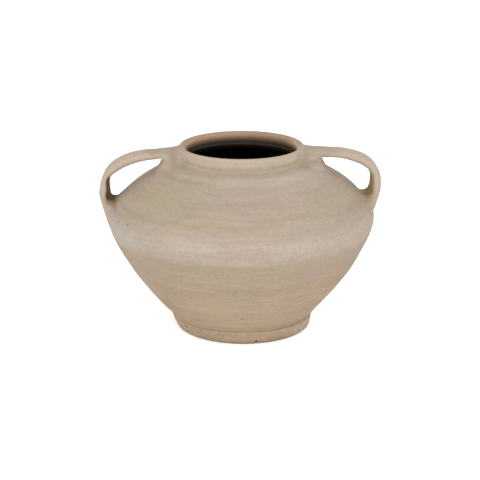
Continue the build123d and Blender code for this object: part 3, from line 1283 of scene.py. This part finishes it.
@dataclass(frozen=True)
class StrapHandle:
    """A pulled strap that spreads smoothly into the rim above and the belly below."""

    name: str
    side: int
    stations: tuple[tuple[float, float, float], ...]
    upper: Landing
    lower: Landing
    leave_rim: float
    reach_belly: float
    width: float = 32.0
    upper_width: float = 36.0
    lower_width: float = 44.0
    crown_share: float = 0.4
    widen_power: int = 4
    squareness: float = 2.3
    pull_turn: float = 6.3
    pull_radius: float = 40.0
    pull_length: float = 160.0
    pull_lines: tuple[Layer, ...] = (Layer(0.28, (9, 9, 90), 51), Layer(0.22, (40, 40, 26), 52))
    pull_depth: float = 0.3
    edge_sink: float = 0.12
    root_sink: float = 3.5
    root_scale: float = 0.97
    hug_scale: float = 0.96
    # Share of painted shade on the strap's underside.
    under_shade: float = 0.4
    under_edge: tuple[float, float] = (-0.45, -0.85)
    around: int = 72
    tube_rows: int = 150
    ease_rows: int = 12
    flare_rows: int = 36

    def centre_line(self) -> np.ndarray:
        """Points along the middle of the strap: distance out, height and thickness."""
        return smooth_curve(np.array(self.stations), samples=600)

    def oval(self) -> tuple[np.ndarray, np.ndarray]:
        """Cosine and sine round a section, pushed a little towards a rounded oblong.

        Returns:
            Shares of the half width and of the half thickness, round the section.
        """
        turn = np.linspace(0, 2 * math.pi, self.around, endpoint=False)
        power = 2 / self.squareness
        across = np.sign(np.cos(turn)) * np.abs(np.cos(turn)) ** power
        through = np.sign(np.sin(turn)) * np.abs(np.sin(turn)) ** power
        return across, through

    def tube(self) -> tuple[np.ndarray, np.ndarray]:
        """The strap between its two flares.

        Each section is an oval square to the centre line. Its width grows towards the
        roots with the fourth power of the way from the middle, and shallow lengthwise
        pull lines of soft noise lie on it.

        Returns:
            Points by row and column, and the strap's direction at each row.
        """
        line = self.centre_line()
        share = np.linspace(0, 1, len(line))
        before = np.argmax(line[:, 0] > self.leave_rim)
        after = np.argmax((line[:, 1] < self.reach_belly) & (share > self.crown_share))
        pick = np.linspace(before, after, self.tube_rows).astype(int)
        out, up = headings(line[:, :2])[pick].T[:, :, None]
        line, share = line[pick], share[pick]
        ends = np.where(share < 0.5, self.upper_width, self.lower_width)
        width = self.width + (ends - self.width) * np.abs(2 * share - 1) ** self.widen_power
        across, through = self.oval()
        turn = np.linspace(0, self.pull_turn, self.around)
        travel = np.linspace(0, self.pull_length, self.tube_rows)[:, None]
        pulled = (self.pull_radius * np.cos(turn), self.pull_radius * np.sin(turn), travel)
        grid = np.stack(np.broadcast_arrays(*pulled), axis=2)
        steps = np.arange(self.tube_rows)
        ease = np.minimum(1, np.minimum(steps, steps[::-1]) / self.ease_rows)[:, None]
        lines = (layered(self.pull_lines, grid) - self.pull_depth) * ease
        rise = (line[:, 2:] / 2 + lines) * through
        middle, height = line[:, 0:1], line[:, 1:2]
        sideways = width[:, None] / 2 * across
        points = np.stack([middle - rise * up, sideways, height + rise * out], axis=2)
        return points, np.column_stack([out, out * 0, up])

    def flare(
        self, relief: Relief, landing: Landing, ring: np.ndarray, heading: np.ndarray, flip: int
    ) -> np.ndarray:
        """The spread end between the pot's wall and one end of the tube.

        A point moves on a cubic from the landing oval to the tube. It leaves the wall
        along it, towards the oval's middle, and comes to the tube along the strap.

        Args:
            relief: Relief of the wall, with its outline.
            landing: The oval on the wall and how closely the flare keeps to it.
            ring: The tube's end section.
            heading: The strap's direction away from this root.
            flip: 1 where the strap's outer face is the oval's top, and -1 at its foot.

        Returns:
            Points by row and column, from a ring sunk in the wall to the tube.
        """
        across, through = self.oval()

        def on_wall(scale: float, sink: float) -> tuple[np.ndarray, np.ndarray]:
            """The landing oval on the wall's relief, with the wall's normals.

            Args:
                scale: Scale of the oval about its middle.
                sink: How far the points lie below the relief.

            Returns:
                The places and the normals.
            """
            y = landing.half_width * scale * across
            z = landing.height + landing.half_height * scale * through * flip
            radius, side, rise = relief.outline.outside_at(z).T
            x = np.sqrt(np.maximum(radius**2 - y**2, 1))
            place = np.column_stack([x, y, z])
            normal = np.column_stack([side * x / radius, side * y / radius, rise])
            depth = relief.outside(place * np.array([self.side, 1, 1])) - sink
            return place + normal * depth[:, None], normal

        edge, outward = on_wall(1.0, self.edge_sink)
        inward = on_wall(self.hug_scale, self.edge_sink)[0] - edge
        inward /= np.linalg.norm(inward, axis=1)[:, None]
        top = (through * flip + 1) / 2
        hug = landing.hug_foot + (landing.hug_top - landing.hug_foot) * top
        pull = landing.pull_foot + (landing.pull_top - landing.pull_foot) * top
        leave = inward * hug[:, None] + outward * (landing.bulge * (1 - top) ** 2)[:, None]
        t = np.linspace(0, 1, self.flare_rows)[:, None, None]
        rows = eased_path(t, edge, leave, ring, heading * pull[:, None])
        sunk = on_wall(self.root_scale, self.root_sink)[0][None]
        return np.concatenate([sunk, rows[:-1]])

    def build(self, pottery: Pottery) -> bpy.types.Object:
        """Builds the strap with both flares as one closed skin, in place of strap and pads.

        The underside of the strap, which faces the pot, has a share of painted shade in the rust colour,
        which fades out along the flares.

        Args:
            pottery: What all pieces share.

        Returns:
            The object.
        """
        tube, heading = self.tube()
        upper = self.flare(pottery.relief, self.upper, tube[0], heading[0], 1)
        lower = self.flare(pottery.relief, self.lower, tube[-1], -heading[-1], -1)
        rows = np.concatenate([upper, tube, lower[::-1]])
        rows[:, :, 0] *= self.side
        points, faces = closed_skin(rows)
        # Painted shade on the strap's underside, which faces the pot.
        under = smooth_step(*self.under_edge, self.oval()[1])
        inner = np.ones(len(rows))
        inner[: len(upper)] = np.linspace(0, 1, len(upper))
        inner[-len(lower) :] = np.linspace(1, 0, len(lower))
        underside_shade = np.append((self.under_shade * inner[:, None] * under).ravel(), (0, 0))
        nodes = [f"{self.name}_handle", f"{self.name}_upper_root_pad", f"{self.name}_lower_root_pad"]
        return pottery.write(f"{self.name}_handle", nodes, points, faces, underside_shade)


@dataclass(frozen=True)
class Studio:
    """A plain pale floor under soft even light, and the camera."""

    camera_place: tuple[float, float, float] = (-0.0019, -2.0, 0.734)
    tilt: float = 0.2988
    lens: float = 114.8
    sensor: float = 36.0
    view_end: float = 50.0
    sky: float = 0.74
    paper: float = 0.92
    paper_glow: float = 0.55
    paper_roughness: float = 0.9
    paper_specular: float = 0.1
    floor_size: float = 8.0
    lamp_size: float = 1.8
    lamp_aim: float = 0.12
    lamps: tuple[tuple[str, tuple[float, float, float], float], ...] = (
        ("key", (-2.0, -2.4, 1.0), 20.0),
        ("fill", (2.0, -2.4, 1.0), 20.0),
        ("back", (0.4, 3.0, 1.3), 9.0),
    )

    def build(self) -> None:
        """Builds the camera, the floor, the sky and the lamps."""
        bpy.context.scene.view_settings.view_transform = "Standard"
        self.camera()
        self.floor()
        self.world()
        for name, place, power in self.lamps:
            self.lamp(name, place, power)

    def camera(self) -> None:
        """Adds the camera at the photograph's distance and tilt."""
        data = bpy.data.cameras.new("camera")
        data.lens = self.lens
        data.sensor_width = self.sensor
        data.clip_end = self.view_end
        camera = bpy.data.objects.new("camera", data)
        camera.location = self.camera_place
        camera.rotation_euler = (math.pi / 2 - self.tilt, 0, 0)
        bpy.context.scene.collection.objects.link(camera)
        bpy.context.scene.camera = camera

    def floor(self) -> None:
        """Adds the floor, which looks white and still takes the pot's shadow."""
        half = self.floor_size / 2
        corners = [(-half, -half, 0), (half, -half, 0), (half, half, 0), (-half, half, 0)]
        mesh = bpy.data.meshes.new("floor")
        mesh.from_pydata(corners, [], [(0, 1, 2, 3)])
        floor = bpy.data.objects.new("floor", mesh)
        bpy.context.scene.collection.objects.link(floor)
        paper = bpy.data.materials.new("floor_paper")
        paper.use_nodes = True
        sheet = NodeSheet(paper.node_tree)
        shader = sheet.kind("ShaderNodeBsdfPrincipled")
        shader.inputs["Base Color"].default_value = (self.paper, self.paper, self.paper, 1)
        shader.inputs["Roughness"].default_value = self.paper_roughness
        shader.inputs["Specular IOR Level"].default_value = self.paper_specular
        shader.inputs["Emission Color"].default_value = (1, 1, 1, 1)
        glow = sheet.math("MULTIPLY", sheet.seen(), self.paper_glow)
        sheet.join(glow, shader.inputs["Emission Strength"])
        mesh.materials.append(paper)

    def world(self) -> None:
        """Lights the scene evenly, and looks plain white behind it."""
        world = bpy.data.worlds.new("sky")
        world.use_nodes = True
        bpy.context.scene.world = world
        sheet = NodeSheet(world.node_tree)
        backdrop = sheet.kind("ShaderNodeBackground")
        backdrop.inputs["Color"].default_value = (1, 1, 1, 1)
        level = sheet.math("MULTIPLY_ADD", sheet.seen(), 1.0 - self.sky, self.sky)
        sheet.join(level, backdrop.inputs["Strength"])

    def lamp(self, name: str, place: tuple[float, float, float], power: float) -> None:
        """Adds a large soft lamp aimed at the pot.

        Args:
            name: Name of the lamp.
            place: Where it stands, in metres.
            power: Its power in watts.
        """
        data = bpy.data.lights.new(name, "AREA")
        data.size = self.lamp_size
        data.energy = power
        lamp = bpy.data.objects.new(name, data)
        x, y, z = place
        lamp.location = place
        lamp.rotation_euler = (math.atan2(math.hypot(x, y), z - self.lamp_aim), 0, math.atan2(x, -y))
        bpy.context.scene.collection.objects.link(lamp)


OUTSIDE = (
    (0.0, Clay.UMBER),
    (8.0, Clay.TAN),
    (15.0, Clay.OCHRE),
    (18.4, Clay.OCHRE),
    # A darker band here is painted shade in the groove between the foot and the bowl.
    (19.6, Clay.UMBER),
    (21.5, Clay.TAN),
    (28.0, Clay.WHEAT),
    (66.0, Clay.WHEAT),
    (90.0, Clay.OCHRE),
    (128.0, Clay.KHAKI),
    (131.5, Clay.KHAKI),
    (134.2, Clay.OCHRE),
    (137.0, Clay.BUFF),
    (146.0, Clay.ROSY),
    (165.0, Clay.ROSY),
    (176.0, Clay.BUFF),
    (186.0, Clay.SHOULDER),
    (206.0, Clay.BUFF),
    (219.0, Clay.ROSY),
    (226.0, Clay.PALE),
    (229.5, Clay.SHOULDER),
    (232.2, Clay.KHAKI),
    (234.6, Clay.SHOULDER),
    (236.8, Clay.KHAKI),
    (238.8, Clay.ROSY),
    (242.0, Clay.LIP),
    (250.5, Clay.LIP),
    (252.4, Clay.ROSY),
)

# Painted shade inside the pot, by height: the lip's colour darkens down the throat to near black, and stays
# near black below.
THROAT = (
    (150.0, Clay.THROAT_SHADE_DEEPEST),
    (233.2, Clay.THROAT_SHADE_DEEPEST),
    (235.8, Clay.THROAT_SHADE_DEEPER),
    (238.3, Clay.THROAT_SHADE_DEEP),
    (240.6, Clay.DARK_SPECK_AND_THROAT_SHADE),
    (243.6, Clay.DARK_MARK_AND_THROAT_SHADE),
    (246.4, Clay.THROAT_SHADE_LIGHT),
    (249.0, Clay.THROAT),
    (252.4, Clay.ROSY),
)

STAINS = (
    Patch(-42, 203, 62, 24, Clay.KHAKI, 0.75),
    Patch(-64, 190, 40, 20, Clay.KHAKI, 0.6),
    Patch(-48, 221, 46, 1.6, Clay.OLIVE, 0.5),
    Patch(52, 196, 34, 13, Clay.KHAKI, 0.3),
    Patch(72, 187, 30, 12, Clay.OLIVE, 0.45),
    Patch(-38, 181, 70, 3.0, Clay.OLIVE, 0.35),
    Patch(-12, 184.3, 110, 2.2, Clay.OLIVE, 0.4),
    Patch(18, 186, 26, 5.0, Clay.KHAKI, 0.6),
    Patch(16, 172, 30, 4.0, Clay.KHAKI, 0.3),
    Patch(6, 205, 34, 18, Clay.MAUVE, 0.35),
    Patch(-24, 160, 42, 8, Clay.PALE, 0.75),
    Patch(-60, 148, 52, 17, Clay.ASHEN, 0.75),
    Patch(-88, 158, 18, 12, Clay.PALE, 0.8),
    Patch(2, 150, 40, 10, Clay.BUFF, 0.5),
    Patch(28, 158, 40, 7, Clay.PALE, 0.65),
    Patch(64, 150, 40, 16, Clay.PALE, 0.55),
    Patch(4, 153, 24, 5, Clay.KHAKI, 0.45),
    Patch(-65, 166, 3.5, 1.6, Clay.BARK, 0.5),
    Patch(-57, 168, 3.0, 2.2, Clay.BARK, 0.45),
    Patch(46, 163, 2.0, 1.6, Clay.RUST_AND_SHADE, 0.5),
    Patch(-10, 127, 90, 6.0, Clay.OLIVE, 0.3),
    Patch(-44, 112, 36, 14, Clay.MAUVE, 0.6),
    Patch(38, 116, 32, 16, Clay.MAUVE, 0.7),
    Patch(62, 128, 26, 12, Clay.MAUVE, 0.5),
    Patch(-22, 104, 26, 10, Clay.PEACH, 0.3),
    Patch(34, 72, 28, 26, Clay.PEACH, 0.65),
    Patch(0.3, 46, 2.0, 1.4, Clay.BARK, 0.6),
    Patch(46, 92, 18, 16, Clay.PEACH, 0.35),
    Patch(-40, 76, 24, 22, Clay.TAN, 0.4),
    Patch(-50, 52, 18, 14, Clay.OLIVE, 0.5),
    Patch(-28, 44, 24, 14, Clay.OCHRE, 0.5),
    Patch(48, 50, 14, 12, Clay.RUST_AND_SHADE, 0.15),
    Patch(62, 9, 32, 8, Clay.PALE, 0.6),
    Patch(-62, 9, 32, 8, Clay.WHEAT, 0.55),
    Patch(-51.5, 13.5, 1.7, 1.3, Clay.DARK_SPECK_AND_THROAT_SHADE, 0.9),
    Patch(12.3, 5.0, 1.9, 1.5, Clay.DARK_SPECK_AND_THROAT_SHADE, 1.0),
    Patch(15.8, 7.2, 1.8, 0.8, Clay.DARK_MARK_AND_THROAT_SHADE, 0.7),
    Patch(180, 251, 130, 3.2, Clay.THROAT, 0.9),
    Smear(-110, 246, 26, 6, Clay.WORN, 0.75),
    Smear(103, 246, 24, 6, Clay.WORN, 0.7),
    Smear(182, 216, 7, 14, Clay.PALE, 0.35),
    Smear(-91, 238, 5.0, 9, Clay.UMBER, 0.65, 0.85),
    Smear(-104, 233, 10, 3, Clay.RUST_AND_SHADE, 0.35),
    Smear(-185, 179, 4.0, 7, Clay.RUST_AND_SHADE, 0.2, 0.8),
    # Painted shade in the left strap's crotch and on the strap's inner face: a dark brown core with an
    # orange edge below it.
    Smear(-174.5, 177.0, 7.0, 5.5, Clay.SIENNA, 0.6, 0.6),
    Smear(-174.3, 185.0, 8.2, 7.6, Clay.CROTCH_SHADE, 1.0, 0.38),
    Smear(-178.6, 198, 3.4, 13, Clay.CROTCH_SHADE, 0.95, 0.4),
    # Painted shade in the right strap's crotch and on the strap's inner edge, dark brown, with a
    # rust-coloured patch under it.
    Smear(171, 181, 6, 4, Clay.RUST_AND_SHADE, 0.45),
    Smear(170.5, 191, 6.5, 8, Clay.BARK, 0.9, 0.45),
    Smear(175.5, 203, 2.6, 11, Clay.BARK, 0.6, 0.45),
    Smear(103, 237, 5, 2.5, Clay.RUST_AND_SHADE, 0.35),
    Smear(86, 236, 5, 9, Clay.WORN, 0.6),
    Smear(-93, 228, 8, 6, Clay.KHAKI, 0.6, 0.8),
    Smear(97, 231.5, 10, 4.5, Clay.UMBER, 0.45, 0.8),
    Smear(96, 234, 7, 1.2, Clay.DARK_MARK_AND_THROAT_SHADE, 0.3),
)

# Painted light on the inner wall under the lip: lighter on the right, where the light falls, and warmer on
# the left.
THROAT_PAINTED_LIGHT = (
    Patch(-125, 243, 60, 9, Clay.RUST_AND_SHADE, 0.4),
    Patch(95, 245, 25, 6, Clay.TAN, 0.4),
)

# Distance out, height and thickness at points along the middle of each strap
LEFT_STATIONS = (
    (76.5, 240.8, 11.4),
    (107.5, 240.1, 11.9),
    (118.0, 238.8, 12.4),
    (131.0, 237.4, 13.8),
    (143.9, 234.5, 14.8),
    (157.0, 229.6, 15.0),
    (169.7, 222.2, 14.4),
    (176.8, 216.2, 12.6),
    (181.2, 209.9, 11.1),
    (183.6, 202.5, 12.1),
    (184.5, 195.0, 14.0),
    (184.7, 188.0, 15.2),
    (184.0, 178.0, 15.4),
    (178.4, 164.0, 15.0),
)
RIGHT_STATIONS = (
    (76.5, 241.8, 13.4),
    (107.5, 242.1, 12.9),
    (120.2, 241.8, 12.4),
    (135.8, 240.6, 13.0),
    (147.5, 237.9, 13.7),
    (158.5, 234.1, 14.2),
    (170.0, 227.5, 13.5),
    (176.1, 221.0, 12.7),
    (179.6, 213.8, 13.5),
    (180.8, 205.0, 15.5),
    (180.6, 197.0, 16.2),
    (179.0, 189.0, 16.8),
    (176.2, 181.0, 16.8),
)


def main() -> None:
    """Builds the studio and the pot piece by piece."""
    logging.basicConfig(level=logging.INFO, format="%(name)s %(message)s")
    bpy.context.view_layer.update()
    Studio().build()
    outline = WallOutline()
    wash = Wash(outline, OUTSIDE, THROAT, STAINS, THROAT_PAINTED_LIGHT)
    pottery = Pottery(outline, Relief(outline), wash, EarthenwareFinish())
    Foot(outline).build(pottery)
    Body().build(pottery)
    Rim().build(pottery)
    StrapHandle(
        "left",
        side=-1,
        stations=LEFT_STATIONS,
        upper=Landing(233.0, 30.0, 19.0, hug_top=16.0, hug_foot=17.0, pull_top=14.0, pull_foot=8.0),
        lower=Landing(155.5, 26.0, 31.5, hug_top=26.0, hug_foot=50.0, pull_top=30.0, pull_foot=38.0),
        leave_rim=107.5,
        reach_belly=187.0,
    ).build(pottery)
    StrapHandle(
        "right",
        side=1,
        stations=RIGHT_STATIONS,
        upper=Landing(233.0, 30.0, 19.0, hug_top=9.0, hug_foot=17.0, pull_top=16.0, pull_foot=8.0),
        lower=Landing(
            176.2, 25.0, 14.4, hug_top=24.0, hug_foot=10.0, pull_top=27.0, pull_foot=16.0, bulge=11.0
        ),
        leave_rim=108.5,
        reach_belly=193.0,
    ).build(pottery)
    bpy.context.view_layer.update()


if __name__ == "__main__":
    main()
